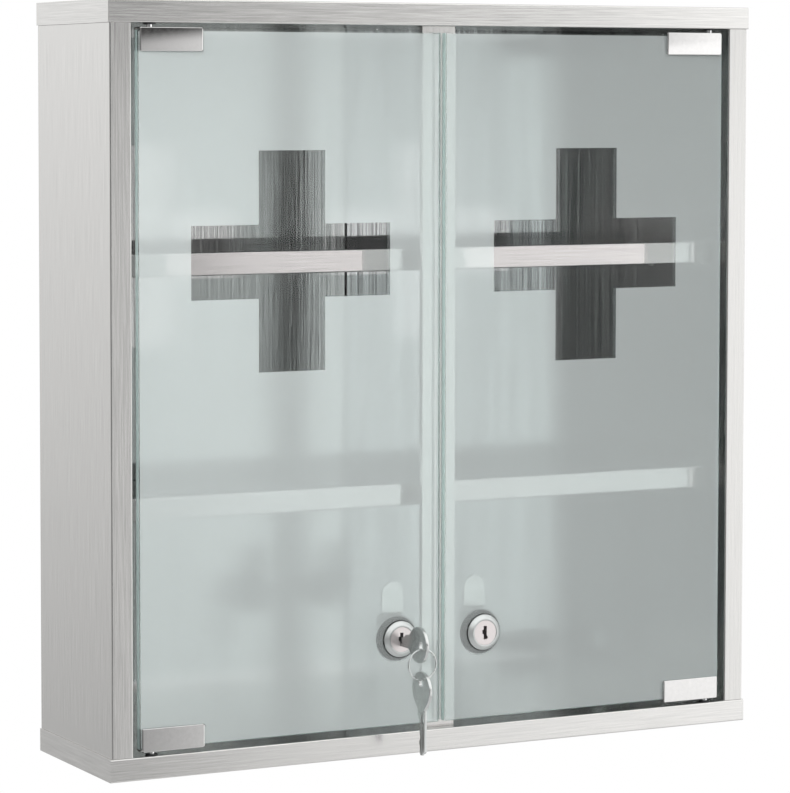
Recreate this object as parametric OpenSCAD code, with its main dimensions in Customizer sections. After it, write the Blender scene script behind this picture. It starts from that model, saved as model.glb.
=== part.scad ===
// Lockable wall cabinet for medicines. A case of folded steel panels holds two frosted
// glass doors on pivot pins, a centre stop post, two shelves and a lapped back. Each door
// has a cam lock. One key stands in the left lock, with its spare on a wire ring.
// Millimetres. +X is right, +Y towards the wall, +Z up. The origin is the centre of the
// four wall holes, on the rear face of the back sheets.

/* [Case] */
// Width over the top and bottom panels
case_w = 482; // [460:1:560]
// Depth from the front faces to the wall
case_d = 122; // [120:1:180]
// Height over the top and bottom panels
case_h = 500; // [480:1:640]
// Thickness of the folded panels and shelves
panel_t = 15; // [14:0.5:18]
// Thickness of the steel sheet
sheet_t = 0.8; // [0.6:0.1:1]
// Outside radius of the sheet's front bends
bend_r = 1; // [1:0.1:1.5]
// How far the side panels stand in from the ends of the top and bottom panels
side_inset = 1; // [0.5:0.1:2]
// How far the side panels stand back from the front of the top and bottom panels
front_step = 0.5; // [0.2:0.1:1]

/* [Back] */
// From the wall to the rear face of the back sheets
back_inset = 2; // [1.8:0.1:4]
// How far the back sheets enter the panels
groove_depth = 6; // [4:0.5:8]
// Width of the lap where the two back sheets meet
lap_w = 25; // [20:1:40]
// Diameter of the wall holes
wall_hole_d = 7; // [5:0.5:8]
// Wall holes, centre to centre across
wall_hole_dx = 390; // [300:5:400]
// Wall holes, centre to centre up
wall_hole_dz = 410; // [300:5:440]

/* [Shelves and post] */
// From the case front to the shelf fronts
shelf_setback = 23; // [23:0.5:30]
// Underside of the lower shelf, above the case bottom
lower_shelf_up = 164; // [150:1:180]
// Underside of the upper shelf, above the case bottom
upper_shelf_up = 322; // [300:1:340]
// Width of the centre post
post_w = 25; // [22:1:26]
// Depth of the centre post
post_d = 4; // [3:0.5:5]
// Sheet thickness of the centre post
post_t = 1; // [0.8:0.1:1.2]

/* [Doors] */
// Glass thickness
glass_t = 5; // [4:0.5:5]
// From the case front back to the glass
glass_setback = 1.7; // [1.5:0.1:2]
// Gap between the two doors
centre_gap = 4.4; // [3:0.1:5]
// Gap between a door and its side panel
side_gap = 4.8; // [4:0.1:6]
// Gap above and below a door
end_gap = 4.5; // [4:0.1:5]
// From a side panel's inner face to the door pivot
pivot_inset = 14; // [12:0.5:16]
// Pivot pin diameter
pin_d = 4; // [3:0.5:4]

/* [Door clamps] */
// Clamp length along the glass
clamp_w = 44; // [36:1:60]
// Clamp height, with the part over the glass edge
clamp_h = 15.3; // [14:0.1:18]
// Front plate thickness
clamp_front_t = 1.5; // [1.2:0.1:1.6]
// Thickness over the glass edge
clamp_web_t = 1.8; // [1.5:0.1:2]
// Rear plate thickness
clamp_rear_t = 2.5; // [2:0.1:3]
// Pad thickness behind the glass
pad_t = 0.8; // [0.6:0.1:1]

/* [Locks] */
// Lock axis from the middle of the cabinet
lock_x = 31.8; // [31:0.1:40]
// Lock axis above the case bottom
lock_up = 77.6; // [70:0.1:100]
// Bezel diameter
bezel_d = 24.2; // [23:0.1:26]
// Barrel diameter
barrel_d = 18.6; // [18:0.1:19]
// Lock plug face diameter
plug_face_d = 16.6; // [16:0.1:17]
// Lock plug body diameter
plug_d = 12.5; // [12:0.1:13]
// Cam length from the lock axis
cam_reach = 37; // [34:0.5:38]
// Cam width
cam_w = 16; // [14:0.5:16]
// Cam thickness
cam_t = 1.5; // [1.2:0.1:1.6]

/* [Keys] */
// Key plate thickness
key_t = 2.2; // [1.8:0.1:2.2]
// Key length
key_l = 55.5; // [54.5:0.5:57]
// Bow length, from its end to the shoulder
bow_l = 25; // [25:0.5:27]
// Bow radius
bow_r = 12; // [11.5:0.1:12]
// Blade height
blade_h = 8.8; // [8:0.1:9]
// From the end of the bow to its hole
bow_hole_in = 7.6; // [7:0.1:8.5]
// Bow hole diameter
bow_hole_d = 5.8; // [5.5:0.1:6]
// Hole of the key in the lock, in front of the case
key_stand = 30.3; // [30:0.1:32]
// Ring radius at the middle of its wire
ring_r = 10.2; // [9.8:0.1:12]
// Ring wire diameter
ring_wire_d = 1.2; // [1:0.1:1.4]

/* [Hidden] */
$fn = 64;

LEFT = -1;
RIGHT = 1;
TOP = 1;
BOTTOM = -1;
// A little more than a cut needs, so that it passes right through
past = 1;
// Gap all round a part that slides or turns in another
running_gap = 0.05;
// Gap round a fixed part in its hole
seat_gap = 0.05;

// Case planes
y_wall = back_inset;
y_front = y_wall - case_d;
z_end = case_h / 2;
z_open = z_end - panel_t;
x_side_out = case_w / 2 - side_inset;
x_side_in = x_side_out - panel_t;
x_side_mid = (x_side_in + x_side_out) / 2;
y_side_front = y_front + front_step;

// Back sheets, their slot in the panels and the lap
slot_gap = 0.2;
x_back = x_side_in + groove_depth;
z_back = z_open + groove_depth;
lap_y = -2 * sheet_t - 0.1;
rivet_r = 1.6;
rivet_head_r = 3.2;
rivet_head_t = 1.1;
rivet_z = [-200, -120, -20, 140];

// Case screws, their dimples and the blocks that they hold
case_screw_r = 2;
case_screw_head_r = 4;
case_screw_head_t = 2.2;
case_screw_l = panel_t + 14;
case_screw_y = [y_front + 24, -24];
recess_w = 0.9;
block_y = [y_side_front + 6, -10];
block_h = 20;

// Centre post
y_post = y_front + 7.5;
post_tab_d = 10;
post_screw_r = 1.75;
post_screw_head_r = 3.4;
post_screw_head_t = 2.4;
post_screw_l = 9;

// Shelves and the pegs that carry them
y_shelf = y_front + shelf_setback;
shelf_d = -3.5 - y_shelf;
shelf_half_w = x_side_in - 1.2;
peg_r = 2.5;
peg_collar_r = 4;
peg_collar_t = 1;
peg_tongue = [6, 6, 3];
peg_y = [y_shelf + 15, -20];

// Doors, pivots and bushes
y_glass = y_front + glass_setback;
y_glass_rear = y_glass + glass_t;
x_door_in = centre_gap / 2;
x_door_out = x_side_in - side_gap;
z_door = z_open - end_gap;
x_pivot = x_side_in - pivot_inset;
y_pivot = y_glass + glass_t / 2;
bush_flange_r = 4;
bush_flange_t = 1;
bush_r = 3.2;
bush_l = 8;
bush_floor = 1;
pin_end = z_open + bush_l - bush_floor - 0.1;

// Clamps
x_clamp_out = x_door_out - 1.2;
x_clamp_in = x_clamp_out - clamp_w;
clamp_r = 0.8;
z_clamp = z_door + clamp_web_t;
y_clamp = y_glass - clamp_front_t;
y_clamp_rear = y_glass_rear + pad_t;
pad_margin = 3;
grub_r = 2;
grub_x = [x_clamp_in + 11, x_clamp_out - 11];
z_grub = z_door - 6;
hex_socket_af = 2;

// Locks, along Y from the front of the bezel
z_lock = lock_up - z_end;
front_gasket_t = 0.5;
rear_gasket_t = 1;
rear_gasket_r = 15.2;
bezel_t = 2.9;
bezel_edge_t = 0.8;
bezel_face_r = 9.6;
y_bezel = y_glass - front_gasket_t - bezel_t;
plug_recess = 0.3;
plug_head_t = 3;
lock_hole_r = barrel_d / 2 + 0.7;
nut_t = 4;
nut_af = 24;
key_tip_y = y_front - key_stand - bow_hole_in + key_l;
y_keyway = key_tip_y + 0.2;
y_cam = y_keyway + 1.5;
spigot_w = 7;
cam_hub_r = 9;
crank_start = 10.8;
crank_end = 16.4;
left_crank = 6.2;
right_crank = 4.2;
cam_screw_r = 2;
cam_screw_head_r = 5;
cam_screw_head_t = 2.3;

// Keyway: a slot with one ward high on its left and one low on its right
keyway_w = key_t + 0.16;
keyway_h = blade_h + 0.3;

// Keys and ring
y_bow_hole = y_front - key_stand;
y_bow_end = y_bow_hole - bow_hole_in;
hang_gap = 0.12;
hole_to_wire = bow_hole_d / 2 - ring_wire_d / 2 - hang_gap;
z_ring_top = z_lock - hole_to_wire;
z_ring = z_ring_top - ring_r;
z_spare_hole = z_ring - ring_r - hole_to_wire;
bow_tangent = 8;
shoulder_l = 7;
cut_pitch = 3.4;
cut_depths = [2.4, 3.2, 2.6, 3.4, 2.2, 2.9];
groove_w = 1.6;
groove_t = 0.45;

// ---- Shared shapes ----

// An outline drawn in Y and Z, drawn out along +X
module along_x(length) {
    rotate([90, 0, 90]) linear_extrude(length) children();
}

// An outline drawn in X and Z, as a plate from y to y + thickness
module along_y(y, thickness) {
    translate([0, y + thickness, 0])
        rotate([90, 0, 0]) linear_extrude(thickness) children();
}

// A rod along +Y
module rod_y(y, length, r) {
    translate([0, y, 0]) rotate([-90, 0, 0]) cylinder(h = length, r = r);
}

// A panel's section: front edge at 0 with two rounded bends, square at the rear
module panel_section(depth, thickness, r) {
    translate([r, 0]) square([depth - r, thickness]);
    translate([0, r]) square([r, thickness - 2 * r]);
    for (v = [r, thickness - r])
        translate([r, v]) circle(r = r);
}

// The same section with its hollow
module hollow_section(depth, thickness) {
    difference() {
        panel_section(depth, thickness, bend_r);
        translate([sheet_t, sheet_t])
            square([depth - 2 * sheet_t, thickness - 2 * sheet_t]);
    }
}

module rounded_rect(w, h, r) {
    translate([r, 0]) square([w - 2 * r, h]);
    translate([0, r]) square([w, h - 2 * r]);
    for (u = [r, w - r], v = [r, h - r])
        translate([u, v]) circle(r = r);
}

// A cross recess for a screwdriver, cut down from z = 0
module cross_recess(width, depth) {
    for (turn = [0, 90])
        rotate(turn) translate([-width / 2, -recess_w / 2, -depth])
            cube([width, recess_w, depth + past]);
}

module on_side(side) {
    if (side == LEFT) mirror([1, 0, 0]) children();
    else children();
}

module at_end(end) {
    if (end == BOTTOM) mirror([0, 0, 1]) children();
    else children();
}

module at_lock(side) {
    translate([side * lock_x, 0, z_lock]) children();
}

// ---- Case ----

// The top panel: a folded box with closed ends, dimples for the case screws and a slot
// underneath for the back sheets. The bottom panel is its mirror image.
module end_panel() {
    difference() {
        union() {
            difference() {
                translate([-case_w / 2, y_front, z_open])
                    along_x(case_w) panel_section(case_d, panel_t, bend_r);
                translate([-case_w / 2 + sheet_t, y_front + sheet_t, z_open + sheet_t])
                    cube([case_w - 2 * sheet_t, case_d - 2 * sheet_t,
                          panel_t - 2 * sheet_t]);
            }
            for (side = [LEFT, RIGHT], y = case_screw_y)
                translate([side * x_side_mid, y, z_end - case_screw_head_t - sheet_t])
                    cylinder(h = case_screw_head_t + sheet_t - 0.1,
                             r1 = case_screw_r + sheet_t, r2 = case_screw_head_r + sheet_t);
        }
        for (side = [LEFT, RIGHT], y = case_screw_y)
            translate([side * x_side_mid, y, 0]) {
                translate([0, 0, z_open - past])
                    cylinder(h = panel_t, r = case_screw_r + seat_gap);
                translate([0, 0, z_end - case_screw_head_t])
                    cylinder(h = case_screw_head_t, r1 = case_screw_r + seat_gap,
                             r2 = case_screw_head_r + seat_gap);
            }
        translate([-x_back - 0.5, -sheet_t - slot_gap / 2, z_open - past])
            cube([2 * x_back + 1, sheet_t + slot_gap, sheet_t + 2 * past]);
        for (side = [LEFT, RIGHT])
            translate([side * x_pivot, y_pivot, z_open - past])
                cylinder(h = sheet_t + 2 * past, r = bush_r + seat_gap);
        translate([0, y_post + post_tab_d - 3, z_open - past])
            cylinder(h = sheet_t + 2 * past, r = post_screw_r + seat_gap);
    }
}

module top_panel() {
    color([0.80, 0.80, 0.79]) end_panel();
}

module bottom_panel() {
    color([0.80, 0.80, 0.79]) at_end(BOTTOM) end_panel();
}

// The right side panel: a folded tube with a slot for the back sheet and peg holes.
// The left one is its mirror image.
module side_panel() {
    difference() {
        translate([x_side_out, y_side_front, -z_open])
            rotate(90) linear_extrude(2 * z_open)
                hollow_section(y_wall - y_side_front, panel_t);
        translate([x_side_in - past, -sheet_t - slot_gap / 2, -z_open - past])
            cube([sheet_t + 2 * past, sheet_t + slot_gap, 2 * z_open + 2 * past]);
        for (up = [lower_shelf_up, upper_shelf_up], y = peg_y)
            translate([x_side_in - past, y, up - z_end - peg_tongue.z / 2])
                rotate([0, 90, 0])
                    cylinder(h = sheet_t + 2 * past, r = peg_r + seat_gap);
    }
}

module left_side_panel() {
    color([0.77, 0.77, 0.76]) on_side(LEFT) side_panel();
}

module right_side_panel() {
    color([0.77, 0.77, 0.76]) side_panel();
}

// Plastic blocks in the ends of the side panels, which the case screws bite into
module corner_blocks() {
    color([0.15, 0.15, 0.16])
        for (side = [LEFT, RIGHT], end = [TOP, BOTTOM])
            on_side(side) at_end(end)
                difference() {
                    translate([x_side_in + sheet_t + 0.1, block_y[0], z_open - block_h])
                        cube([panel_t - 2 * sheet_t - 0.2, block_y[1] - block_y[0],
                              block_h]);
                    for (y = case_screw_y)
                        translate([x_side_mid, y, z_open - block_h - past])
                            cylinder(h = block_h + 2 * past, r = case_screw_r + seat_gap);
                }
}

module case_screw() {
    difference() {
        union() {
            translate([0, 0, -case_screw_head_t])
                cylinder(h = case_screw_head_t, r1 = case_screw_r, r2 = case_screw_head_r);
            translate([0, 0, -case_screw_l])
                cylinder(h = case_screw_l, r = case_screw_r);
        }
        cross_recess(4.4, 1.4);
    }
}

module case_screws() {
    color([0.70, 0.70, 0.70])
        for (side = [LEFT, RIGHT], end = [TOP, BOTTOM], y = case_screw_y)
            at_end(end) translate([side * x_side_mid, y, z_end]) case_screw();
}

module wall_hole_cuts() {
    for (x = [-wall_hole_dx / 2, wall_hole_dx / 2], z = [-wall_hole_dz / 2, wall_hole_dz / 2])
        translate([x, 0, z]) rod_y(-sheet_t - past, sheet_t + 2 * past, wall_hole_d / 2);
}

module rivet_cuts() {
    for (z = rivet_z)
        translate([0, 0, z]) rod_y(lap_y - past, -lap_y + 2 * past, rivet_r + seat_gap);
}

// The left back sheet is flat and runs behind the lap
module left_back_sheet() {
    color([0.66, 0.67, 0.67])
        difference() {
            translate([-x_back, -sheet_t, -z_back])
                cube([x_back + lap_w / 2 - 1, sheet_t, 2 * z_back]);
            wall_hole_cuts();
            rivet_cuts();
        }
}

// The right back sheet steps forward over the left one
module right_back_sheet() {
    step_x = lap_w / 2 + 0.2;
    color([0.66, 0.67, 0.67])
        difference() {
            union() {
                translate([step_x, -sheet_t, -z_back])
                    cube([x_back - step_x, sheet_t, 2 * z_back]);
                translate([step_x, lap_y, -z_open + 0.3])
                    cube([sheet_t, -lap_y, 2 * z_open - 0.6]);
                translate([-lap_w / 2, lap_y, -z_open + 0.3])
                    cube([step_x + lap_w / 2 + sheet_t, sheet_t, 2 * z_open - 0.6]);
            }
            wall_hole_cuts();
            rivet_cuts();
        }
}

module back_rivets() {
    color([0.72, 0.72, 0.72])
        for (z = rivet_z) translate([0, 0, z]) {
            rod_y(lap_y - rivet_head_t, rivet_head_t, rivet_head_r);
            rod_y(lap_y - 0.2, 0.2 - lap_y, rivet_r);
            rod_y(0, rivet_head_t, rivet_head_r - 0.7);
        }
}

// ---- Post and shelves ----

// A shallow channel with a tab folded back at each end
module centre_post() {
    color([0.84, 0.84, 0.83])
        difference() {
            union() {
                translate([0, y_post, -z_open]) linear_extrude(2 * z_open) {
                    translate([-post_w / 2, 0]) square([post_w, post_t]);
                    for (x = [-post_w / 2, post_w / 2 - post_t])
                        translate([x, 0]) square([post_t, post_d]);
                }
                for (end = [TOP, BOTTOM])
                    at_end(end)
                        translate([-post_w / 2 + post_t, y_post, z_open - post_t])
                            cube([post_w - 2 * post_t, post_tab_d, post_t]);
            }
            for (end = [TOP, BOTTOM])
                at_end(end)
                    translate([0, y_post + post_tab_d - 3, z_open - post_t - past])
                        cylinder(h = post_t + 2 * past, r = post_screw_r + seat_gap);
        }
}

module post_screws() {
    color([0.70, 0.70, 0.70])
        for (end = [TOP, BOTTOM])
            at_end(end)
                translate([0, y_post + post_tab_d - 3, z_open - post_t])
                    mirror([0, 0, 1])
                        difference() {
                            union() {
                                cylinder(h = post_screw_head_t, r = post_screw_head_r);
                                translate([0, 0, -post_screw_l])
                                    cylinder(h = post_screw_l, r = post_screw_r);
                            }
                            translate([0, 0, post_screw_head_t]) cross_recess(3.6, 1.3);
                        }
}

module shelf(up) {
    translate([-shelf_half_w, y_shelf, up - z_end])
        along_x(2 * shelf_half_w) hollow_section(shelf_d, panel_t);
}

module upper_shelf() {
    color([0.84, 0.84, 0.83]) shelf(upper_shelf_up);
}

module lower_shelf() {
    color([0.84, 0.84, 0.83]) shelf(lower_shelf_up);
}

// A peg has a round shank in the side panel, a collar and a flat tongue under the shelf
module shelf_pegs(up) {
    for (side = [LEFT, RIGHT], y = peg_y)
        on_side(side) translate([x_side_in, y, up - z_end - peg_tongue.z / 2]) {
            rotate([0, 90, 0]) cylinder(h = 8, r = peg_r);
            translate([-peg_collar_t, 0, 0])
                rotate([0, 90, 0]) cylinder(h = peg_collar_t, r = peg_collar_r);
            translate([-peg_collar_t - peg_tongue.x, -peg_tongue.y / 2, -peg_tongue.z / 2])
                cube(peg_tongue);
        }
}

module upper_shelf_pegs() {
    color([0.72, 0.72, 0.72]) shelf_pegs(upper_shelf_up);
}

module lower_shelf_pegs() {
    color([0.72, 0.72, 0.72]) shelf_pegs(lower_shelf_up);
}

// Flanged bushes for the door pins. The closed end of a lower bush carries the door.
module pivot_bushes() {
    color([0.07, 0.07, 0.08])
        for (side = [LEFT, RIGHT], end = [TOP, BOTTOM])
            at_end(end) translate([side * x_pivot, y_pivot, z_open])
                difference() {
                    union() {
                        translate([0, 0, -bush_flange_t])
                            cylinder(h = bush_flange_t, r = bush_flange_r);
                        cylinder(h = bush_l, r = bush_r);
                    }
                    translate([0, 0, -bush_flange_t - past])
                        cylinder(h = bush_flange_t + past + bush_l - bush_floor,
                                 r = pin_d / 2 + running_gap);
                }
}

// ---- Doors ----

module door_glass(side) {
    on_side(side)
        difference() {
            translate([x_door_in, y_glass, -z_door])
                cube([x_door_out - x_door_in, glass_t, 2 * z_door]);
            translate([lock_x, 0, z_lock])
                rod_y(y_glass - past, glass_t + 2 * past, lock_hole_r);
        }
}

// A clamp grips the corner of the glass: front plate, web over the edge, rear plate
module clamp(side, end) {
    on_side(side) at_end(end)
        difference() {
            union() {
                along_y(y_clamp, clamp_front_t)
                    translate([x_clamp_in, z_clamp - clamp_h])
                        rounded_rect(clamp_w, clamp_h, clamp_r);
                translate([x_clamp_in + clamp_r, y_clamp, z_door])
                    cube([clamp_w - 2 * clamp_r, y_clamp_rear + clamp_rear_t - y_clamp,
                          clamp_web_t]);
                along_y(y_clamp_rear, clamp_rear_t)
                    translate([x_clamp_in, z_clamp - clamp_h])
                        rounded_rect(clamp_w, clamp_h, clamp_r);
            }
            translate([x_pivot, y_pivot, z_door - past])
                cylinder(h = clamp_web_t + 2 * past, r = pin_d / 2);
            for (x = grub_x)
                translate([x, 0, z_grub])
                    rod_y(y_clamp_rear - past, clamp_rear_t + 2 * past, grub_r + seat_gap);
        }
}

module clamp_pads(side) {
    for (end = [TOP, BOTTOM])
        on_side(side) at_end(end)
            along_y(y_glass_rear, pad_t)
                translate([x_clamp_in + pad_margin, z_clamp - clamp_h + 1])
                    square([clamp_w - 2 * pad_margin, clamp_h - clamp_web_t - 2]);
}

module clamp_screws(side) {
    for (end = [TOP, BOTTOM], x = grub_x)
        on_side(side) at_end(end) translate([x, 0, z_grub])
            difference() {
                rod_y(y_clamp_rear, clamp_rear_t - 0.1, grub_r);
                translate([0, y_clamp_rear + 1, 0]) rotate([-90, 0, 0])
                    cylinder(h = clamp_rear_t, d = hex_socket_af / cos(30), $fn = 6);
            }
}

module pivot_pins(side) {
    for (end = [TOP, BOTTOM])
        on_side(side) at_end(end)
            translate([x_pivot, y_pivot, z_door + 0.1])
                cylinder(h = pin_end - z_door - 0.1, r = pin_d / 2);
}

// ---- Locks ----

// Bezel, threaded barrel (drawn plain) and the stepped bore that the plug turns in
module lock_barrel(side) {
    l = y_cam - 0.1 - y_bezel;
    r = barrel_d / 2;
    seat = plug_recess + plug_head_t + running_gap;
    at_lock(side) translate([0, y_bezel, 0]) rotate([-90, 0, 0])
        rotate_extrude()
            polygon([[plug_face_d / 2 + 0.35, 0], [bezel_face_r, 0],
                     [bezel_d / 2, bezel_t - bezel_edge_t], [bezel_d / 2, bezel_t],
                     [r, bezel_t], [r, l], [plug_d / 2 + running_gap, l],
                     [plug_d / 2 + running_gap, seat],
                     [plug_face_d / 2 + running_gap, seat],
                     [plug_face_d / 2 + running_gap, 0.3]]);
}

// Rubber rings on both faces of the glass
module lock_gaskets(side) {
    at_lock(side) {
        difference() {
            rod_y(y_glass - front_gasket_t, front_gasket_t, bezel_d / 2 + 0.4);
            rod_y(y_glass - front_gasket_t - past, front_gasket_t + 2 * past,
                  barrel_d / 2 + seat_gap);
        }
        difference() {
            rod_y(y_glass_rear, rear_gasket_t, rear_gasket_r);
            rod_y(y_glass_rear - past, rear_gasket_t + 2 * past,
                  barrel_d / 2 + seat_gap);
        }
    }
}

module lock_nut(side) {
    at_lock(side) translate([0, y_glass_rear + rear_gasket_t, 0]) rotate([-90, 0, 0])
        difference() {
            cylinder(h = nut_t, d = nut_af / cos(30), $fn = 6);
            translate([0, 0, -past])
                cylinder(h = nut_t + 2 * past, r = barrel_d / 2 + seat_gap);
        }
}

module keyway_outline() {
    square([keyway_w, keyway_h], center = true);
    translate([-keyway_w / 2 - 1, -1]) square([1.2, 3]);
    translate([keyway_w / 2 - 0.2, -keyway_h / 2 + 0.5]) square([0.9, 1.8]);
}

// The plug: face, body, square end for the cam, keyway in front and screw hole behind
module lock_plug(side) {
    y_face = y_bezel + plug_recess;
    at_lock(side)
        difference() {
            union() {
                rod_y(y_face, plug_head_t, plug_face_d / 2);
                rod_y(y_face, y_cam - y_face, plug_d / 2);
                along_y(y_cam, cam_t - 0.1) square(spigot_w, center = true);
            }
            along_y(y_face - past, y_keyway - y_face + past) keyway_outline();
            rod_y(y_keyway + 0.4, 4, cam_screw_r + seat_gap);
        }
}

// A cam points up when unlocked. It is cranked forward to pass just behind the post, the
// right one less than the left one, so that the two lap when both doors are locked.
module lock_cam(side, crank) {
    at_lock(side)
        difference() {
            intersection() {
                along_y(y_cam - crank - past, crank + cam_t + 2 * past) {
                    circle(r = cam_hub_r);
                    translate([-cam_w / 2, 0]) square([cam_w, cam_reach - cam_w / 2]);
                    translate([0, cam_reach - cam_w / 2]) circle(r = cam_w / 2);
                }
                translate([-cam_hub_r - past, y_cam, 0])
                    along_x(2 * (cam_hub_r + past))
                        polygon([[0, -cam_hub_r - past], [0, crank_start],
                                 [-crank, crank_end], [-crank, cam_reach + past],
                                 [cam_t - crank, cam_reach + past],
                                 [cam_t - crank, crank_end + 0.6],
                                 [cam_t, crank_start + 0.6],
                                 [cam_t, -cam_hub_r - past]]);
            }
            along_y(y_cam - past, cam_t + 2 * past)
                square(spigot_w + 0.1, center = true);
        }
}

module cam_screw(side) {
    at_lock(side) translate([0, y_cam + cam_t, 0]) rotate([-90, 0, 0])
        difference() {
            union() {
                cylinder(h = cam_screw_head_t, r = cam_screw_head_r);
                translate([0, 0, -cam_t - 1])
                    cylinder(h = cam_t + 1, r = cam_screw_r);
            }
            translate([0, 0, cam_screw_head_t]) cross_recess(5, 1.3);
        }
}

// ---- Keys and ring ----

// The key's outline along +X from the end of its bow at 0, with the cuts on the +Y side
module key_outline() {
    tangent_u = bow_r + bow_tangent;
    tangent_v = sqrt(bow_r * bow_r - bow_tangent * bow_tangent);
    cut_start = bow_l + shoulder_l;
    difference() {
        union() {
            translate([bow_r, 0]) circle(r = bow_r);
            polygon([[bow_r, -tangent_v], [tangent_u, -tangent_v],
                     [bow_l, -blade_h / 2], [bow_l, blade_h / 2],
                     [tangent_u, tangent_v], [bow_r, tangent_v]]);
            polygon(concat(
                [[bow_l - 1, blade_h / 2], [bow_l - 1, -blade_h / 2],
                 [key_l - 2.5, -blade_h / 2], [key_l, -0.8], [key_l, 0.4],
                 [key_l - 1.5, 1.6]],
                [for (i = [len(cut_depths) - 1 : -1 : 0])
                    each [[cut_start + (i + 0.65) * cut_pitch, blade_h / 2 - cut_depths[i]],
                          [cut_start + (i + 0.15) * cut_pitch,
                           blade_h / 2 - cut_depths[i]]]],
                [[bow_l + shoulder_l - 3, blade_h / 2]]));
        }
        translate([bow_hole_in, 0]) circle(d = bow_hole_d);
    }
}

// A flat key drawn along +Y from its bow, with a milled groove in each face of the blade
module flat_key() {
    difference() {
        translate([-key_t / 2, 0, 0]) along_x(key_t) key_outline();
        for (x = [-key_t / 2 - past, key_t / 2 - groove_t])
            translate([x, bow_l + 2, -blade_h / 2 + 2])
                cube([groove_t + past, key_l, groove_w]);
    }
}

module key() {
    color([0.62, 0.63, 0.63])
        translate([-lock_x, y_bow_end, z_lock]) flat_key();
}

module key_ring() {
    color([0.70, 0.70, 0.70])
        translate([-lock_x, y_bow_hole, z_ring]) rotate([90, 0, 0])
            rotate_extrude()
                translate([ring_r, 0]) circle(d = ring_wire_d);
}

// The spare hangs with its blade down and its cuts towards the door
module spare_key() {
    color([0.62, 0.63, 0.63])
        translate([-lock_x, y_bow_hole, z_spare_hole + bow_hole_in])
            rotate([-90, 0, 0]) flat_key();
}

// ---- The sub-parts of each door ----

module left_door_glass() {
    color([0.72, 0.80, 0.80, 0.6]) door_glass(LEFT);
}

module left_top_clamp() {
    color([0.62, 0.63, 0.63]) clamp(LEFT, TOP);
}

module left_bottom_clamp() {
    color([0.62, 0.63, 0.63]) clamp(LEFT, BOTTOM);
}

module left_clamp_pads() {
    color([0.10, 0.10, 0.10]) clamp_pads(LEFT);
}

module left_clamp_screws() {
    color([0.55, 0.55, 0.55]) clamp_screws(LEFT);
}

module left_pivot_pins() {
    color([0.74, 0.74, 0.74]) pivot_pins(LEFT);
}

module left_lock_barrel() {
    color([0.70, 0.71, 0.71]) lock_barrel(LEFT);
}

module left_lock_gaskets() {
    color([0.05, 0.05, 0.05]) lock_gaskets(LEFT);
}

module left_lock_nut() {
    color([0.66, 0.66, 0.66]) lock_nut(LEFT);
}

module left_lock_plug() {
    color([0.76, 0.76, 0.76]) lock_plug(LEFT);
}

module left_lock_cam() {
    color([0.74, 0.73, 0.70]) lock_cam(LEFT, left_crank);
}

module left_cam_screw() {
    color([0.60, 0.60, 0.60]) cam_screw(LEFT);
}

module right_door_glass() {
    color([0.72, 0.80, 0.80, 0.6]) door_glass(RIGHT);
}

module right_top_clamp() {
    color([0.62, 0.63, 0.63]) clamp(RIGHT, TOP);
}

module right_bottom_clamp() {
    color([0.62, 0.63, 0.63]) clamp(RIGHT, BOTTOM);
}

module right_clamp_pads() {
    color([0.10, 0.10, 0.10]) clamp_pads(RIGHT);
}

module right_clamp_screws() {
    color([0.55, 0.55, 0.55]) clamp_screws(RIGHT);
}

module right_pivot_pins() {
    color([0.74, 0.74, 0.74]) pivot_pins(RIGHT);
}

module right_lock_barrel() {
    color([0.70, 0.71, 0.71]) lock_barrel(RIGHT);
}

module right_lock_gaskets() {
    color([0.05, 0.05, 0.05]) lock_gaskets(RIGHT);
}

module right_lock_nut() {
    color([0.66, 0.66, 0.66]) lock_nut(RIGHT);
}

module right_lock_plug() {
    color([0.76, 0.76, 0.76]) lock_plug(RIGHT);
}

module right_lock_cam() {
    color([0.74, 0.73, 0.70]) lock_cam(RIGHT, right_crank);
}

module right_cam_screw() {
    color([0.60, 0.60, 0.60]) cam_screw(RIGHT);
}

top_panel();
bottom_panel();
left_side_panel();
right_side_panel();
corner_blocks();
case_screws();
left_back_sheet();
right_back_sheet();
back_rivets();
centre_post();
post_screws();
upper_shelf();
lower_shelf();
upper_shelf_pegs();
lower_shelf_pegs();
pivot_bushes();
left_door_glass();
left_top_clamp();
left_bottom_clamp();
left_clamp_pads();
left_clamp_screws();
left_pivot_pins();
left_lock_barrel();
left_lock_gaskets();
left_lock_nut();
left_lock_plug();
left_lock_cam();
left_cam_screw();
right_door_glass();
right_top_clamp();
right_bottom_clamp();
right_clamp_pads();
right_clamp_screws();
right_pivot_pins();
right_lock_barrel();
right_lock_gaskets();
right_lock_nut();
right_lock_plug();
right_lock_cam();
right_cam_screw();
key();
key_ring();
spare_key();
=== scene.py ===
"""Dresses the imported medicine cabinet: brushed steel case, frosted glass doors, satin
chrome clamps, cam locks, keys and a plain studio around them."""

import math

import bmesh
import bpy
from bpy.props import FloatProperty, FloatVectorProperty, PointerProperty, StringProperty
from mathutils import Matrix, Vector


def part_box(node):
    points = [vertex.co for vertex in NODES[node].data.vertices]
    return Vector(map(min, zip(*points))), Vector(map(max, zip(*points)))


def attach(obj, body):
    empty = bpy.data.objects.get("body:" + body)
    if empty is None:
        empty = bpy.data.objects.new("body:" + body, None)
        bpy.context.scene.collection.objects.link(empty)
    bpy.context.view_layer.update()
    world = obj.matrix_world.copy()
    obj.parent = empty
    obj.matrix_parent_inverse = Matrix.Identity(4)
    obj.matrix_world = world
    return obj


bl_info = {
    "name": "Frosted Door Medicine Cabinet",
    "version": (1, 0, 0),
    "blender": (4, 5, 0),
    "location": "View3D > Sidebar > Cabinet",
    "description": "Finishes a steel wall cabinet with frosted glass doors and cam locks",
    "category": "Object",
}

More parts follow.
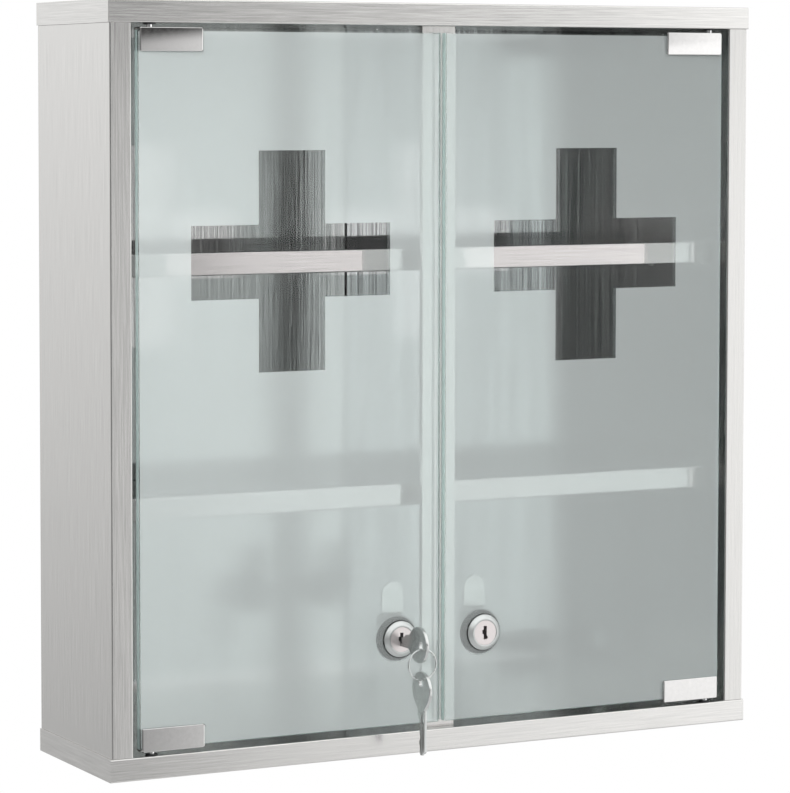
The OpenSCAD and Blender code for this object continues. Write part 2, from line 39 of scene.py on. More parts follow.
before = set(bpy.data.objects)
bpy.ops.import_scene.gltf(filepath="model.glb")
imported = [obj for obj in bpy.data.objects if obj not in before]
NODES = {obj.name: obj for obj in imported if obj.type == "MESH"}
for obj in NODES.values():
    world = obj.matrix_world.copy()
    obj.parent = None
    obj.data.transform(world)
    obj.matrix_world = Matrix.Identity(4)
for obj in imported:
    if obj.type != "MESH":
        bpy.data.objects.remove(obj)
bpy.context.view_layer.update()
SIDES = ("left", "right")
MM = 0.001
WHITE = (1, 1, 1, 1)

# Noise keeps mostly to this part of its range, so what it drives is spread over it.
NOISE_SPAN = {"From Min": 0.3, "From Max": 0.7}

# Back sheets: side, tone contrast and grain relief in mm.
BACK_GRAIN = (("left", 0.16, 0.1), ("right", 0.7, 0.03))
BACK_FINE_MM, BACK_LONG_MM = 1.3, 160.0
MIRROR_ROUGHNESS = 0.05

# Glass. The refraction index is under the 1.52 of real glass, because at 1.52 the
# reflection of the studio hides the dark steel that shows through the crosses.
GLASS_IOR = 1.2
GLASS_SPECULAR = 0.3
CLEAR_ROUGHNESS, GROUND_EDGE_ROUGHNESS, ETCH_VARIATION = 0.01, 0.3, 0.02
FACE_SKIN = 0.25 * MM
# Radii of the disc around each lock where the haze is lowered: a painted shadow ring of
# the gasket behind the glass.
LOCK_SHADOW_INNER, LOCK_SHADOW_OUTER = 14.8 * MM, 15.6 * MM

# Wall hole caps in mm: hole places, then radius, front and back of the head and shank.
WALL_HOLE_X, WALL_HOLE_Z = 195, 205
CAP_STEPS = ((5.2, -1.6, -0.8), (3.4, -0.8, 0.0))
# Near-black strip in mm that paints the shadow in the back sheets' lap joint: its lowest
# and highest corner.
LAP_SHADOW_LOW, LAP_SHADOW_HIGH = (-13.7, -1.5, -230), (-12.5, -0.8, 230)

# Camera, turned in degrees. The shift is a share of the picture's longer side.
LENS_MM, SENSOR_MM = 151.12, 36
LENS_SHIFT = (45 / 793, -0.12)
YAW, PITCH, ROLL = 26.971, 3.530, -0.032

# Light around the cabinet: degrees from its front towards its right, and the level.
EYE_LEVEL = (
    (-180, 1.18), (-120, 1.18), (-98, 1.1), (-84, 0.4), (-40, 0.22), (-10, 0.3),
    (22.2, 0.38), (25.6, 1.4), (30, 1.45), (34, 1.8), (46, 1.75), (62, 1.6),
    (72, 1.3), (100, 1.0), (172, 1.0), (180, 1.18),
)
LOW_LEVEL = (
    (-180, 0.4), (-120, 0.4), (-98, 0.5), (-84, 0.4), (-40, 0.35), (-10, 0.3),
    (22.3, 0.36), (27.0, 1.15), (38, 1.35), (46, 1.5), (62, 1.5), (72, 1.3),
    (100, 1.0), (172, 1.0), (178, 0.4),
)
# Two dark openings between the studio's walls: where they are and how high.
OPENINGS = (
    (-180, 1.0), (-46, 1.0), (-40, 0.03), (-14, 0.03), (-8, 1.0), (21.5, 1.0),
    (23, 0.03), (31.2, 0.03), (33, 1.0),
)
OPENING_RISE = 0.08
OPENING_EDGE = {"From Min": 0.05, "From Max": 0.066}
LOW_TO_EYE = {"From Min": -0.3, "From Max": 0.04}
WALL_TO_CEILING = {"From Min": 0.15, "From Max": 0.5}
SIDE_TO_FRONT = {"From Min": 0.0, "From Max": 0.35}

FLOOR_HALF, FLOOR_HEIGHT = 1.8, -1.1
SOFTBOX_SIZE = (0.3, 0.6)
SOFTBOX_PLACE, SOFTBOX_AIM = Vector((-0.62, -0.62, 0.3)), Vector((-0.16, -0.12, 0.03))
SOFTBOX_SPREAD = 60


# ---- Small tools ----


def linear(hex_colour):
    """Turns an sRGB hex colour into the linear colour that the shaders take."""
    channels = [int(hex_colour[i : i + 2], 16) / 255 for i in (1, 3, 5)]
    return [
        c / 12.92 if c <= 0.04045 else ((c + 0.055) / 1.055) ** 2.4 for c in channels
    ] + [1.0]


def add(tree, kind, values=None, links=None, **settings):
    """Adds a node, sets its socket values and links, and returns it."""
    node = tree.nodes.new(kind)
    for key, value in settings.items():
        setattr(node, key, value)
    for key, value in (values or {}).items():
        node.inputs[key].default_value = value
    for key, source in (links or {}).items():
        tree.links.new(source, node.inputs[key])
    return node


def new_material(name):
    """Starts a node material that holds only its output."""
    material = bpy.data.materials.new(name)
    material.use_nodes = True
    material.node_tree.nodes.clear()
    output = add(material.node_tree, "ShaderNodeOutputMaterial")
    return material, material.node_tree, output


def dress(name, material, edge=0.0, segments=2, held=True):
    """Gives a CAD node its material and, where it has an edge width, softened edges.

    Held edges stay narrow enough not to meet each other."""
    node = NODES[name]
    node.data.materials.clear()
    node.data.materials.append(material)
    if edge:
        node.modifiers.new("Merge", "WELD").merge_threshold = 0.002 * MM
        bevel = node.modifiers.new("Edges", "BEVEL")
        bevel.width = edge
        bevel.segments = segments
        bevel.limit_method = "ANGLE"
        bevel.angle_limit = math.radians(35)
        bevel.use_clamp_overlap = held
        normals = node.modifiers.new("Shading", "WEIGHTED_NORMAL")
        normals.mode = "FACE_AREA"
        normals.weight = 100
        normals.keep_sharp = False


def new_piece(name, shape, material, body):
    """Makes an object of a bmesh, in place in the cabinet's frame, riding on a body."""
    mesh = bpy.data.meshes.new(name)
    bmesh.ops.recalc_face_normals(shape, faces=shape.faces)
    shape.to_mesh(mesh)
    shape.free()
    mesh.materials.append(material)
    mesh.shade_smooth()
    piece = bpy.data.objects.new(name, mesh)
    bpy.context.scene.collection.objects.link(piece)
    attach(piece, body)


# ---- Materials ----


def grain_height(tree, along, fine_mm, long_mm):
    """Streaks of a belt-ground sheet: fine across the grain and long along it.

    On a face that looks along Z the grain still runs along X or Y, so two patterns are
    laid and the face's direction picks one."""
    place = add(tree, "ShaderNodeTexCoord").outputs["Object"]
    fine, long = 1 / (fine_mm * MM), 1 / (long_mm * MM)
    patterns = {
        "x": ((long, long, fine), (long, fine, long)),
        "z": ((fine, fine, long), (fine, long, long)),
    }[along]
    streaks = []
    for scale in patterns:
        stretched = add(tree, "ShaderNodeMapping", {"Scale": scale}, {"Vector": place})
        noise = add(
            tree,
            "ShaderNodeTexNoise",
            {"Scale": 1.0, "Detail": 3.0, "Roughness": 0.65},
            {"Vector": stretched.outputs[0]},
        )
        streaks.append(noise.outputs["Fac"])
    facing = add(tree, "ShaderNodeNewGeometry").outputs["True Normal"]
    own_facing = add(
        tree,
        "ShaderNodeVectorTransform",
        links={"Vector": facing},
        vector_type="NORMAL",
        convert_from="WORLD",
        convert_to="OBJECT",
    )
    parts = add(tree, "ShaderNodeSeparateXYZ", links={0: own_facing.outputs[0]})
    looks_along_z = add(
        tree, "ShaderNodeMath", links={0: parts.outputs["Z"]}, operation="ABSOLUTE"
    )
    picked = add(
        tree,
        "ShaderNodeMix",
        links={"Factor": looks_along_z.outputs[0], "A": streaks[0], "B": streaks[1]},
    )
    return picked.outputs["Result"]


def brushed_stainless(
    name,
    along,
    colour,
    roughness,
    contrast=0.09,
    relief_mm=0.006,
    fine_mm=0.8,
    long_mm=38.0,
):
    """Austenitic stainless sheet, ground with a fine belt. The eye gets long hairlines
    along the grain, and highlights that spread across it."""
    material, tree, output = new_material(name)
    grain = grain_height(tree, along, fine_mm, long_mm)
    tone = add(
        tree,
        "ShaderNodeMapRange",
        NOISE_SPAN | {"To Min": 1 - contrast, "To Max": 1 + contrast},
        {"Value": grain},
    )
    base = add(
        tree,
        "ShaderNodeVectorMath",
        {0: linear(colour)[:3]},
        {"Scale": tone.outputs[0]},
        operation="SCALE",
    )
    rough = add(
        tree,
        "ShaderNodeMapRange",
        NOISE_SPAN | {"To Min": roughness * 0.8, "To Max": roughness * 1.2},
        {"Value": grain},
    )
    relief = add(
        tree,
        "ShaderNodeBump",
        {"Strength": 1.0, "Distance": relief_mm * MM},
        {"Height": grain},
    )
    direction = add(
        tree,
        "ShaderNodeVectorTransform",
        {"Vector": (0, 0, 1) if along == "x" else (1, 1, 0)},
        vector_type="VECTOR",
        convert_from="OBJECT",
        convert_to="WORLD",
    )
    shader = add(
        tree,
        "ShaderNodeBsdfPrincipled",
        {"Metallic": 1.0, "Anisotropic": 0.65},
        {
            "Base Color": base.outputs[0],
            "Roughness": rough.outputs[0],
            "Normal": relief.outputs[0],
            "Tangent": direction.outputs[0],
        },
    )
    tree.links.new(shader.outputs[0], output.inputs["Surface"])
    return material


def plated(name, colour, roughness, mottle_mm=3.0):
    """Plated or bare metal with a faint unevenness left by polishing and handling."""
    material, tree, output = new_material(name)
    place = add(tree, "ShaderNodeTexCoord").outputs["Object"]
    mottle = add(
        tree,
        "ShaderNodeTexNoise",
        {"Scale": 1 / (mottle_mm * MM), "Detail": 4.0, "Roughness": 0.6},
        {"Vector": place},
    )
    rough = add(
        tree,
        "ShaderNodeMapRange",
        NOISE_SPAN | {"To Min": roughness * 0.8, "To Max": roughness * 1.2},
        {"Value": mottle.outputs["Fac"]},
    )
    tone = add(
        tree,
        "ShaderNodeMapRange",
        NOISE_SPAN | {"To Min": 0.97, "To Max": 1.03},
        {"Value": mottle.outputs["Fac"]},
    )
    base = add(
        tree,
        "ShaderNodeVectorMath",
        {0: linear(colour)[:3]},
        {"Scale": tone.outputs[0]},
        operation="SCALE",
    )
    shader = add(
        tree,
        "ShaderNodeBsdfPrincipled",
        {"Metallic": 1.0},
        {"Base Color": base.outputs[0], "Roughness": rough.outputs[0]},
    )
    tree.links.new(shader.outputs[0], output.inputs["Surface"])
    return material


def etched_area(tree, at, look, middle, half):
    """One on the etched part of a door, zero on its clear cross and clear border."""
    cross_x = math.copysign(look.cross_offset, middle.x)
    arm, span = look.cross_arm / 2, look.cross_span / 2
    areas = []
    for centre_x, half_x, centre_z, half_z in (
        (cross_x, arm, look.cross_height, span),
        (cross_x, span, look.cross_height, arm),
        (middle.x, half.x - look.clear_border, middle.z, half.z - look.clear_border),
    ):
        across = add(
            tree,
            "ShaderNodeMath",
            {1: centre_x, 2: half_x},
            {0: at.outputs["X"]},
            operation="COMPARE",
        )
        up = add(
            tree,
            "ShaderNodeMath",
            {1: centre_z, 2: half_z},
            {0: at.outputs["Z"]},
            operation="COMPARE",
        )
        area = add(
            tree,
            "ShaderNodeMath",
            links={0: across.outputs[0], 1: up.outputs[0]},
            operation="MULTIPLY",
        )
        areas.append(area.outputs[0])
    upright_arm, level_arm, inside_border = areas
    cross = add(
        tree, "ShaderNodeMath", links={0: upright_arm, 1: level_arm}, operation="MAXIMUM"
    )
    etched = add(
        tree,
        "ShaderNodeMath",
        links={0: inside_border, 1: cross.outputs[0]},
        operation="SUBTRACT",
        use_clamp=True,
    )
    return etched.outputs[0]


def painted_lock_shadow(tree, place, look, middle):
    """Share of the haze that is left: one, and less on a disc shifted left of the lock,
    which paints the shadow ring of the gasket behind the glass.
    """
    lock_x = math.copysign(look.lock_offset, middle.x) - look.lock_shadow_shift
    on_face = add(
        tree, "ShaderNodeVectorMath", {1: (1, 0, 1)}, {0: place}, operation="MULTIPLY"
    )
    from_lock = add(
        tree,
        "ShaderNodeVectorMath",
        {1: (lock_x, 0, look.lock_height)},
        {0: on_face.outputs[0]},
        operation="DISTANCE",
    )
    share = add(
        tree,
        "ShaderNodeMapRange",
        {
            "From Min": LOCK_SHADOW_INNER,
            "From Max": LOCK_SHADOW_OUTER,
            "To Min": look.lock_shadow_haze,
        },
        {"Value": from_lock.outputs["Value"]},
    )
    return share.outputs[0]


def frosted_glass(name, look, node):
    """Toughened 5 mm float glass with polished faces and ground edges. Its outer face is
    etched satin apart from a clear cross and a narrow border, so the eye gets a milky
    sheet in which what stands behind keeps a soft outline, and a clear window in the
    shape of a cross. The inner face carries a much fainter etch of the same pattern. On a
    disc shifted left of the lock the haze is lowered, which paints the gasket's shadow
    ring."""
    material, tree, output = new_material(name)
    place = add(tree, "ShaderNodeTexCoord").outputs["Object"]
    at = add(tree, "ShaderNodeSeparateXYZ", links={0: place})
    low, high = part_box(node)
    middle, half = (low + high) / 2, (high - low) / 2
    etched = etched_area(tree, at, look, middle, half)
    haze = add(
        tree,
        "ShaderNodeMapRange",
        {
            "From Min": low.y,
            "From Max": high.y,
            "To Min": look.frost_haze,
            "To Max": look.inner_haze,
        },
        {"Value": at.outputs["Y"]},
    )
    etched_haze = add(
        tree,
        "ShaderNodeMath",
        links={0: etched, 1: haze.outputs[0]},
        operation="MULTIPLY",
    )
    face_haze = add(
        tree,
        "ShaderNodeMath",
        links={
            0: etched_haze.outputs[0],
            1: painted_lock_shadow(tree, place, look, middle),
        },
        operation="MULTIPLY",
    )
    edge = add(
        tree,
        "ShaderNodeMath",
        {1: middle.y, 2: half.y - FACE_SKIN},
        {0: at.outputs["Y"]},
        operation="COMPARE",
    )
    grit = add(
        tree,
        "ShaderNodeTexNoise",
        {"Scale": 1 / (1.2 * MM), "Detail": 2.0},
        {"Vector": place},
    )
    blur = add(
        tree,
        "ShaderNodeMapRange",
        NOISE_SPAN
        | {
            "To Min": look.frost_roughness - ETCH_VARIATION,
            "To Max": look.frost_roughness + ETCH_VARIATION,
        },
        {"Value": grit.outputs["Fac"]},
    )
    face_rough = add(
        tree,
        "ShaderNodeMix",
        {"A": CLEAR_ROUGHNESS},
        {"Factor": etched, "B": blur.outputs[0]},
    )
    rough = add(
        tree,
        "ShaderNodeMix",
        {"B": GROUND_EDGE_ROUGHNESS},
        {"Factor": edge.outputs[0], "A": face_rough.outputs["Result"]},
    )
    scattered = add(
        tree,
        "ShaderNodeMix",
        {"B": look.edge_haze},
        {"Factor": edge.outputs[0], "A": face_haze.outputs[0]},
    )
    passed = add(
        tree,
        "ShaderNodeMath",
        {0: 1.0},
        {1: scattered.outputs["Result"]},
        operation="SUBTRACT",
    )
    face_tint = add(
        tree,
        "ShaderNodeMix",
        {"A": WHITE, "B": linear(look.glass_colour)},
        {"Factor": etched},
        data_type="RGBA",
    )
    tint = add(
        tree,
        "ShaderNodeMix",
        {"B": linear(look.glass_edge_colour)},
        {"Factor": edge.outputs[0], "A": face_tint.outputs["Result"]},
        data_type="RGBA",
    )
    glass = add(
        tree,
        "ShaderNodeBsdfPrincipled",
        {"IOR": GLASS_IOR, "Specular IOR Level": GLASS_SPECULAR},
        {
            "Base Color": tint.outputs["Result"],
            "Roughness": rough.outputs["Result"],
            "Transmission Weight": passed.outputs[0],
        },
    )
    tree.links.new(glass.outputs[0], output.inputs["Surface"])
    return material


def moulded(name, colour, roughness):
    """Moulded rubber or nylon with the fine tooth of its mould."""
    material, tree, output = new_material(name)
    place = add(tree, "ShaderNodeTexCoord").outputs["Object"]
    tooth = add(
        tree,
        "ShaderNodeTexNoise",
        {"Scale": 1 / (0.4 * MM), "Detail": 3.0},
        {"Vector": place},
    )
    relief = add(
        tree,
        "ShaderNodeBump",
        {"Strength": 0.3, "Distance": 0.03 * MM},
        {"Height": tooth.outputs["Fac"]},
    )
    rough = add(
        tree,
        "ShaderNodeMapRange",
        {"To Min": roughness - 0.08, "To Max": roughness + 0.08},
        {"Value": tooth.outputs["Fac"]},
    )
    shader = add(
        tree,
        "ShaderNodeBsdfPrincipled",
        {"Base Color": linear(colour)},
        {"Roughness": rough.outputs[0], "Normal": relief.outputs[0]},
    )
    tree.links.new(shader.outputs[0], output.inputs["Surface"])
    return material


# ---- What a user may change ----


class CabinetLook(bpy.types.PropertyGroup):
    """Sizes and colours of the finish."""

    steel_colour: StringProperty(
        name="Steel", description="sRGB colour of the brushed sheet", default="#CCCBC9"
    )
    left_back_colour: StringProperty(
        name="Left back steel",
        description="sRGB colour of the left back sheet",
        default="#B0B1B0",
    )
    # Darker than the left back sheet: painted shade, so the interior seen through the
    # right cross reads darker than through the left.
    right_back_colour: StringProperty(
        name="Right back steel",
        description="sRGB colour of the right back sheet",
        default="#959797",
    )
    glass_colour: StringProperty(
        name="Glass", description="sRGB tint of the etched glass", default="#F3FAF9"
    )
    glass_edge_colour: StringProperty(
        name="Glass edge",
        description="sRGB tint of the ground edge",
        default="#BFD2CF",
    )
    steel_roughness: FloatProperty(
        name="Steel roughness",
        description="Microscopic roughness of the case",
        default=0.22,
        min=0.05,
        max=0.8,
    )
    frost_roughness: FloatProperty(
        name="Frost roughness",
        description="How much the etched face blurs",
        default=0.23,
        min=0.1,
        max=0.9,
    )
    frost_haze: FloatProperty(
        name="Frost haze",
        description="Share of light that the etched outer face scatters back",
        default=0.3,
        min=0.0,
        max=1.0,
    )
    inner_haze: FloatProperty(
        name="Inner haze",
        description="The same for the inner face",
        default=0.06,
        min=0.0,
        max=1.0,
    )
    edge_haze: FloatProperty(
        name="Edge haze",
        description="The same for the ground edges",
        default=0.5,
        min=0.0,
        max=1.0,
    )
    clear_border: FloatProperty(
        name="Clear border",
        description="Unetched strip along the glass edges",
        default=0.6 * MM,
        unit="LENGTH",
    )
    cross_span: FloatProperty(
        name="Cross span",
        description="Height and width of the clear cross",
        default=144 * MM,
        unit="LENGTH",
    )
    cross_arm: FloatProperty(
        name="Cross arm",
        description="Width of each arm",
        default=48 * MM,
        unit="LENGTH",
    )
    cross_height: FloatProperty(
        name="Cross height",
        description="Middle of the cross above the origin",
        default=81.4 * MM,
        unit="LENGTH",
    )
    cross_offset: FloatProperty(
        name="Cross offset",
        description="Middle of the cross from the middle of the cabinet",
        default=111.3 * MM,
        unit="LENGTH",
    )
    lock_offset: FloatProperty(
        name="Lock offset",
        description="Lock axis from the middle of the cabinet",
        default=31.8 * MM,
        unit="LENGTH",
    )
    lock_height: FloatProperty(
        name="Lock height",
        description="Lock axis above the origin",
        default=-172.4 * MM,
        unit="LENGTH",
    )
    # The disc of lowered haze paints the shadow ring of the lock gasket; it is shifted
    # left so the ring shows as a crescent on that side.
    lock_shadow_shift: FloatProperty(
        name="Disc shift",
        description="Middle of the thinner etch, left of the lock axis",
        default=2.5 * MM,
        unit="LENGTH",
    )
    lock_shadow_haze: FloatProperty(
        name="Disc haze",
        description="Share of the haze left around the lock",
        default=0.72,
        min=0.0,
        max=1.0,
    )
    edge_width: FloatProperty(
        name="Edge softening",
        description="Bevel on folded steel edges",
        default=0.2 * MM,
        unit="LENGTH",
    )
    ceiling_light: FloatProperty(
        name="Ceiling light",
        description="Brightness over the front of the cabinet",
        default=1.6,
        min=0.0,
        max=8.0,
    )
    lamp_power: FloatProperty(
        name="Softbox power",
        description="Watts of the left softbox",
        default=0.8,
        min=0.0,
    )
    camera_place: FloatVectorProperty(
        name="Camera",
        description="Where the camera stands",
        default=(-1.0591, -2.0638, 0.1886),
        subtype="XYZ",
    )


class CABINET_OT_case(bpy.types.Operator):
    """Brushed steel on the panels, shelves, post and back"""

    bl_idname = "cabinet.case"
    bl_label = "Case"

    def execute(self, context):
        look = context.scene.cabinet_look
        across = brushed_stainless(
            "stainless_ground_across", "x", look.steel_colour, look.steel_roughness
        )
        upright = brushed_stainless(
            "stainless_ground_upright", "z", look.steel_colour, look.steel_roughness
        )
        # The right back sheet takes a darker colour than the left one, which paints shade
        # into the right half of the interior.
        for side, contrast, relief in BACK_GRAIN:
            back = brushed_stainless(
                f"{side}_back_sheet_steel",
                "z",
                getattr(look, f"{side}_back_colour"),
                MIRROR_ROUGHNESS,
                contrast,
                relief,
                BACK_FINE_MM,
                BACK_LONG_MM,
            )
            dress(f"{side}_back_sheet", back)
        shelf_steel = brushed_stainless(
            "stainless_shelf",
            "x",
            "#B9B6B5",
            MIRROR_ROUGHNESS,
            contrast=0.07,
            relief_mm=0.003,
        )
        for name in ("top_panel", "bottom_panel"):
            dress(name, across, look.edge_width)
        for name in ("upper_shelf", "lower_shelf"):
            dress(name, shelf_steel, look.edge_width)
        for name in ("left_side_panel", "right_side_panel", "centre_post"):
            dress(name, upright, look.edge_width)
        return {"FINISHED"}


class CABINET_OT_doors(bpy.types.Operator):
    """Frosted glass with a clear cross in each door"""

    bl_idname = "cabinet.doors"
    bl_label = "Glass doors"

    def execute(self, context):
        look = context.scene.cabinet_look
        for side in SIDES:
            node = f"{side}_door_glass"
            dress(node, frosted_glass(f"{side}_etched_glass", look, node), 0.3 * MM)
        return {"FINISHED"}


class CABINET_OT_hardware(bpy.types.Operator):
    """Clamps, pins, pads, screws, rivets, pegs, bushes, hole caps, and a near-black strip
    that paints the shadow in the back sheets' lap joint
    """

    bl_idname = "cabinet.hardware"
    bl_label = "Hardware"

    def close_wall_holes(self):
        """Press-in caps, as the cabinet is sold, in the holes that the wall screws use."""
        plastic = moulded("grey_polyethylene", "#A9ACAC", 0.5)
        shape = bmesh.new()
        for x in (-WALL_HOLE_X, WALL_HOLE_X):
            for z in (-WALL_HOLE_Z, WALL_HOLE_Z):
                for radius, front, back in CAP_STEPS:
                    turned = Matrix.Translation(
                        (x * MM, (front + back) / 2 * MM, z * MM)
                    ) @ Matrix.Rotation(math.pi / 2, 4, "X")
                    bmesh.ops.create_cone(
                        shape,
                        cap_ends=True,
                        segments=32,
                        radius1=radius * MM,
                        radius2=radius * MM,
                        depth=(back - front) * MM,
                        matrix=turned,
                    )
        new_piece("wall_hole_caps", shape, plastic, "case")

    def paint_lap_shadow(self):
        """A near-black strip along the lap joint of the two back sheets: a painted shadow
        of the joint's edge.
        """
        shadow_black = moulded("lap_shadow_black", "#0C0C0C", 0.7)
        shape = bmesh.new()
        low, high = Vector(LAP_SHADOW_LOW) * MM, Vector(LAP_SHADOW_HIGH) * MM
        bmesh.ops.create_cube(
            shape,
            size=1.0,
            matrix=Matrix.LocRotScale((low + high) / 2, None, high - low),
        )
        new_piece("lap_shadow_strip", shape, shadow_black, "case")

    def execute(self, context):
        self.close_wall_holes()
        self.paint_lap_shadow()
        satin = plated("satin_chrome_plate", "#CBCAC9", 0.05)
        bright = plated("bright_steel_wire", "#E6E6E6", 0.12)
        zinc = plated("bright_zinc_plate", "#C9CAC8", 0.33, mottle_mm=1.5)
        rubber = moulded("black_rubber", "#141414", 0.75)
        nylon = moulded("black_nylon", "#17181A", 0.5)
        for side in SIDES:
            for end in ("top", "bottom"):
                dress(f"{side}_{end}_clamp", satin, 0.5 * MM, 3, held=False)
            dress(f"{side}_clamp_pads", rubber)
            dress(f"{side}_clamp_screws", zinc)
            dress(f"{side}_pivot_pins", bright)
            dress(f"{side}_lock_gaskets", rubber)
            dress(f"{side}_lock_nut", zinc, 0.4 * MM)
            dress(f"{side}_lock_cam", zinc, 0.2 * MM)
            dress(f"{side}_cam_screw", zinc, 0.2 * MM)
        for name in (
            "case_screws",
            "back_rivets",
            "post_screws",
            "upper_shelf_pegs",
            "lower_shelf_pegs",
        ):
            dress(name, zinc)
        dress("pivot_bushes", nylon)
        dress("corner_blocks", nylon, 0.4 * MM)
        return {"FINISHED"}


class CABINET_OT_locks(bpy.types.Operator):
    """Plated lock barrels and plugs"""

    bl_idname = "cabinet.locks"
    bl_label = "Locks"

    def execute(self, context):
        bezel = plated("satin_nickel_bezel", "#C9CCCB", 0.42)
        face = plated("turned_plug_face", "#E2DCDB", 0.42)
        for side in SIDES:
            dress(f"{side}_lock_barrel", bezel, 0.2 * MM)
            dress(f"{side}_lock_plug", face, 0.12 * MM)
        return {"FINISHED"}


class CABINET_OT_keys(bpy.types.Operator):
    """Nickel plated keys on their wire ring"""

    bl_idname = "cabinet.keys"
    bl_label = "Keys"

    def execute(self, context):
        nickel = plated("nickel_plated_brass", "#C4C6C5", 0.22)
        wire = plated("bright_spring_wire", "#CDD0CF", 0.25)
        for name in ("key", "spare_key"):
            dress(name, nickel, 0.25 * MM)
        dress("key_ring", wire)
        return {"FINISHED"}


class CABINET_OT_stage(bpy.types.Operator):
    """Camera, studio light and pale floor"""

    bl_idname = "cabinet.stage"
    bl_label = "Stage"

    def execute(self, context):
        scene = context.scene
        look = scene.cabinet_look
        scene.view_settings.view_transform = "Standard"
        self.place_camera(scene, look)
        self.light_world(scene, look)
        self.hang_lamp(scene, look)
        self.lay_floor(scene)
        return {"FINISHED"}

    def place_camera(self, scene, look):
        """A long lens at the cabinet's front left, level with its upper half."""
        lens = bpy.data.cameras.new("studio_camera")
        lens.lens = LENS_MM
        lens.sensor_width = SENSOR_MM
        lens.shift_x, lens.shift_y = LENS_SHIFT
        lens.clip_end = 50
        camera = bpy.data.objects.new("studio_camera", lens)
        camera.matrix_world = (
            Matrix.Translation(look.camera_place)
            @ Matrix.Rotation(math.radians(-YAW), 4, "Z")
            @ Matrix.Rotation(math.radians(90 - PITCH), 4, "X")
            @ Matrix.Rotation(math.radians(-ROLL), 4, "Z")
        )
        scene.collection.objects.link(camera)
        scene.camera = camera

    def light_world(self, scene, look):
        """White studio walls, bright to the front right and grey to the front and the
        front left, with a ceiling light over the front. Two dark openings in the walls
        just above eye level give the black band that the shelf mirrors. The camera
        itself sees plain white."""
        world = bpy.data.worlds.new("studio")
        scene.world = world
        world.use_nodes = True
        tree = world.node_tree
        tree.nodes.clear()
        output = add(tree, "ShaderNodeOutputWorld")
        way = add(
            tree,
            "ShaderNodeSeparateXYZ",
            links={0: add(tree, "ShaderNodeTexCoord").outputs["Generated"]},
        )
        frontward = add(
            tree,
            "ShaderNodeMath",
            {1: -1.0},
            {0: way.outputs["Y"]},
            operation="MULTIPLY",
        )
        turn = add(
            tree,
            "ShaderNodeMath",
            links={0: way.outputs["X"], 1: frontward.outputs[0]},
            operation="ARCTAN2",
        )
        round_share = add(
            tree,
            "ShaderNodeMapRange",
            {"From Min": -math.pi, "From Max": math.pi},
            {"Value": turn.outputs[0]},
        )
        height = add(tree, "ShaderNodeMapRange", LOW_TO_EYE, {"Value": way.outputs["Z"]})
        walls = add(
            tree,
            "ShaderNodeMix",
            links={
                "Factor": height.outputs[0],
                "A": self.ring(tree, round_share, LOW_LEVEL),
                "B": self.ring(tree, round_share, EYE_LEVEL),
            },
            data_type="RGBA",
        )
        above_middle = add(
            tree,
            "ShaderNodeMath",
            {1: OPENING_RISE},
            {0: way.outputs["Z"]},
            operation="SUBTRACT",
        )
        distance = add(
            tree,
            "ShaderNodeMath",
            links={0: above_middle.outputs[0]},
            operation="ABSOLUTE",
        )
        past_opening = add(
            tree, "ShaderNodeMapRange", OPENING_EDGE, {"Value": distance.outputs[0]}
        )
        wall_share = add(
            tree,
            "ShaderNodeMath",
            links={
                0: past_opening.outputs[0],
                1: self.ring(tree, round_share, OPENINGS),
            },
            operation="MAXIMUM",
        )
        around = add(
            tree,
            "ShaderNodeVectorMath",
            links={0: walls.outputs["Result"], "Scale": wall_share.outputs[0]},
            operation="SCALE",
        )
        upward = add(
            tree, "ShaderNodeMapRange", WALL_TO_CEILING, {"Value": way.outputs["Z"]}
        )
        in_front = add(
            tree, "ShaderNodeMapRange", SIDE_TO_FRONT, {"Value": frontward.outputs[0]}
        )
        overhead = add(
            tree,
            "ShaderNodeMath",
            links={0: upward.outputs[0], 1: in_front.outputs[0]},
            operation="MULTIPLY",
        )
        light = add(
            tree,
            "ShaderNodeMix",
            {"B": [look.ceiling_light] * 3 + [1]},
            {"Factor": overhead.outputs[0], "A": around.outputs[0]},
            data_type="RGBA",
        )
        ray = add(tree, "ShaderNodeLightPath")
        seen = add(
            tree,
            "ShaderNodeMix",
            {"B": WHITE},
            {"Factor": ray.outputs["Is Camera Ray"], "A": light.outputs["Result"]},
            data_type="RGBA",
        )
        background = add(
            tree, "ShaderNodeBackground", links={"Color": seen.outputs["Result"]}
        )
        tree.links.new(background.outputs[0], output.inputs["Surface"])

    def ring(self, tree, round_share, stops):
        """A ring of light levels around the cabinet, by degrees from its front."""
        levels = add(tree, "ShaderNodeValToRGB", links={0: round_share.outputs[0]})
        ramp = levels.color_ramp
        ramp.interpolation = "EASE"
        for index, (degrees, level) in enumerate(stops):
            position = (degrees + 180) / 360
            if index < 2:
                stop = ramp.elements[index]
                stop.position = position
            else:
                stop = ramp.elements.new(position)
            stop.color = (level, level, level, 1)
        return levels.outputs[0]

    def hang_lamp(self, scene, look):
        """A gridded softbox at the front left, aimed at the left door. Reflections
        leave it out."""
        lamp = bpy.data.lights.new("left_softbox", "AREA")
        lamp.shape = "RECTANGLE"
        lamp.size, lamp.size_y = SOFTBOX_SIZE
        lamp.energy = look.lamp_power
        lamp.spread = math.radians(SOFTBOX_SPREAD)
        softbox = bpy.data.objects.new("left_softbox", lamp)
        turned = (SOFTBOX_AIM - SOFTBOX_PLACE).to_track_quat("-Z", "Y")
        softbox.matrix_world = (
            Matrix.Translation(SOFTBOX_PLACE) @ turned.to_matrix().to_4x4()
        )
        softbox.visible_camera = softbox.visible_glossy = False
        scene.collection.objects.link(softbox)

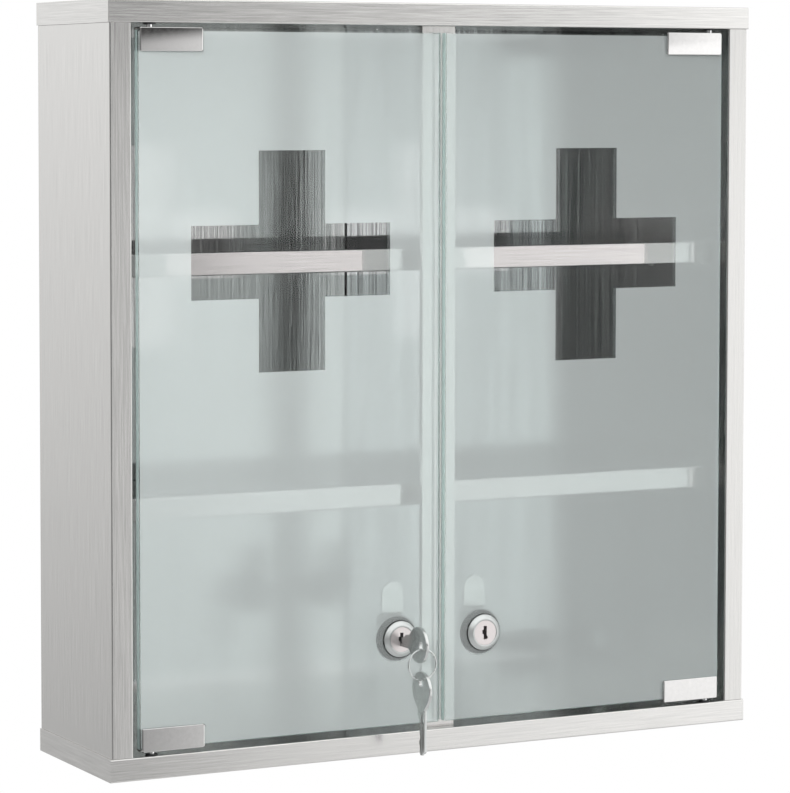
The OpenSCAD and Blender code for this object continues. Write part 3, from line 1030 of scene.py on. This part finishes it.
    def lay_floor(self, scene):
        """A pale floor well below the cabinet, which the camera sees as white."""
        shape = bmesh.new()
        bmesh.ops.create_grid(shape, x_segments=1, y_segments=1, size=FLOOR_HALF)
        bmesh.ops.translate(shape, verts=shape.verts, vec=(0, 0, FLOOR_HEIGHT))
        mesh = bpy.data.meshes.new("pale_floor")
        shape.to_mesh(mesh)
        shape.free()
        floor = bpy.data.objects.new("pale_floor", mesh)
        scene.collection.objects.link(floor)
        material, tree, output = new_material("pale_floor_paint")
        paint = add(
            tree,
            "ShaderNodeBsdfPrincipled",
            {"Base Color": linear("#D8D8D8"), "Roughness": 0.8},
        )
        white = add(tree, "ShaderNodeEmission", {"Color": WHITE})
        ray = add(tree, "ShaderNodeLightPath")
        surface = add(
            tree,
            "ShaderNodeMixShader",
            links={
                0: ray.outputs["Is Camera Ray"],
                1: paint.outputs[0],
                2: white.outputs[0],
            },
        )
        tree.links.new(surface.outputs[0], output.inputs["Surface"])
        mesh.materials.append(material)


class CABINET_PT_panel(bpy.types.Panel):
    """Lists the parts of the finish"""

    bl_idname = "CABINET_PT_panel"
    bl_label = "Cabinet"
    bl_space_type = "VIEW_3D"
    bl_region_type = "UI"
    bl_category = "Cabinet"

    def draw(self, context):
        look = context.scene.cabinet_look
        for operator in OPERATORS:
            self.layout.operator(operator.bl_idname)
        for name in CabinetLook.__annotations__:
            self.layout.prop(look, name)


OPERATORS = (
    CABINET_OT_stage,
    CABINET_OT_case,
    CABINET_OT_doors,
    CABINET_OT_hardware,
    CABINET_OT_locks,
    CABINET_OT_keys,
)
CLASSES = (CabinetLook, *OPERATORS, CABINET_PT_panel)


def register():
    for cls in CLASSES:
        bpy.utils.register_class(cls)
    bpy.types.Scene.cabinet_look = PointerProperty(type=CabinetLook)


def unregister():
    del bpy.types.Scene.cabinet_look
    for cls in reversed(CLASSES):
        bpy.utils.unregister_class(cls)


def main():
    register()
    for operator in OPERATORS:
        group, name = operator.bl_idname.split(".")
        getattr(getattr(bpy.ops, group), name)()


if __name__ == "__main__":
    main()
